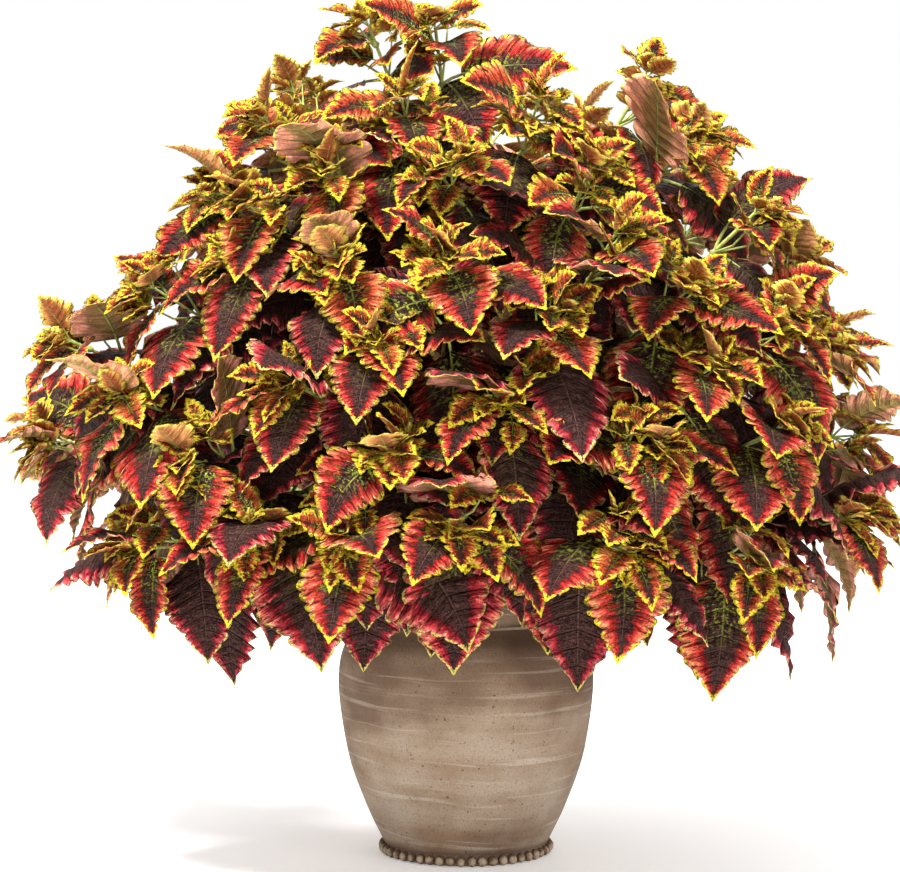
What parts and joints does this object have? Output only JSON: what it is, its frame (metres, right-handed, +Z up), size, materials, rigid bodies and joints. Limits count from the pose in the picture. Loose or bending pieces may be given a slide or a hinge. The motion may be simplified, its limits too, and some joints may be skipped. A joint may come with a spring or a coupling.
{
  "type": "potted coleus",
  "caption": "Bushy coleus with scalloped maroon, coral and yellow leaves on branching stems, growing as a dome from soil in a round beaded terracotta pot.",
  "frame": {"origin": "centre of the pot's foot, on the surface that the pot stands on", "axes": "+Z up along the pot's axis, -Y the plant's front"},
  "size_m": [0.9147, 0.8151, 0.8413],
  "materials": {
    "terracotta": "matte",
    "soil": "matte",
    "foliage": "satin"
  },
  "bodies": {
    "root": {"pot": "terracotta", "soil": "soil", "leafy_stem_01": "foliage", "leafy_stem_02": "foliage", "leafy_stem_03": "foliage", "leafy_stem_04": "foliage", "leafy_stem_05": "foliage", "leafy_stem_06": "foliage", "leafy_stem_07": "foliage", "leafy_stem_08": "foliage", "leafy_stem_09": "foliage", "leafy_stem_10": "foliage", "leafy_stem_11": "foliage", "leafy_stem_12": "foliage", "leafy_stem_13": "foliage", "leafy_stem_14": "foliage", "leafy_stem_15": "foliage", "leafy_stem_16": "foliage", "leafy_stem_17": "foliage", "leafy_stem_18": "foliage", "leafy_stem_19": "foliage", "leafy_stem_20": "foliage", "leafy_stem_21": "foliage", "leafy_stem_22": "foliage", "leafy_stem_23": "foliage", "leafy_stem_24": "foliage"}
  },
  "joints": []
}
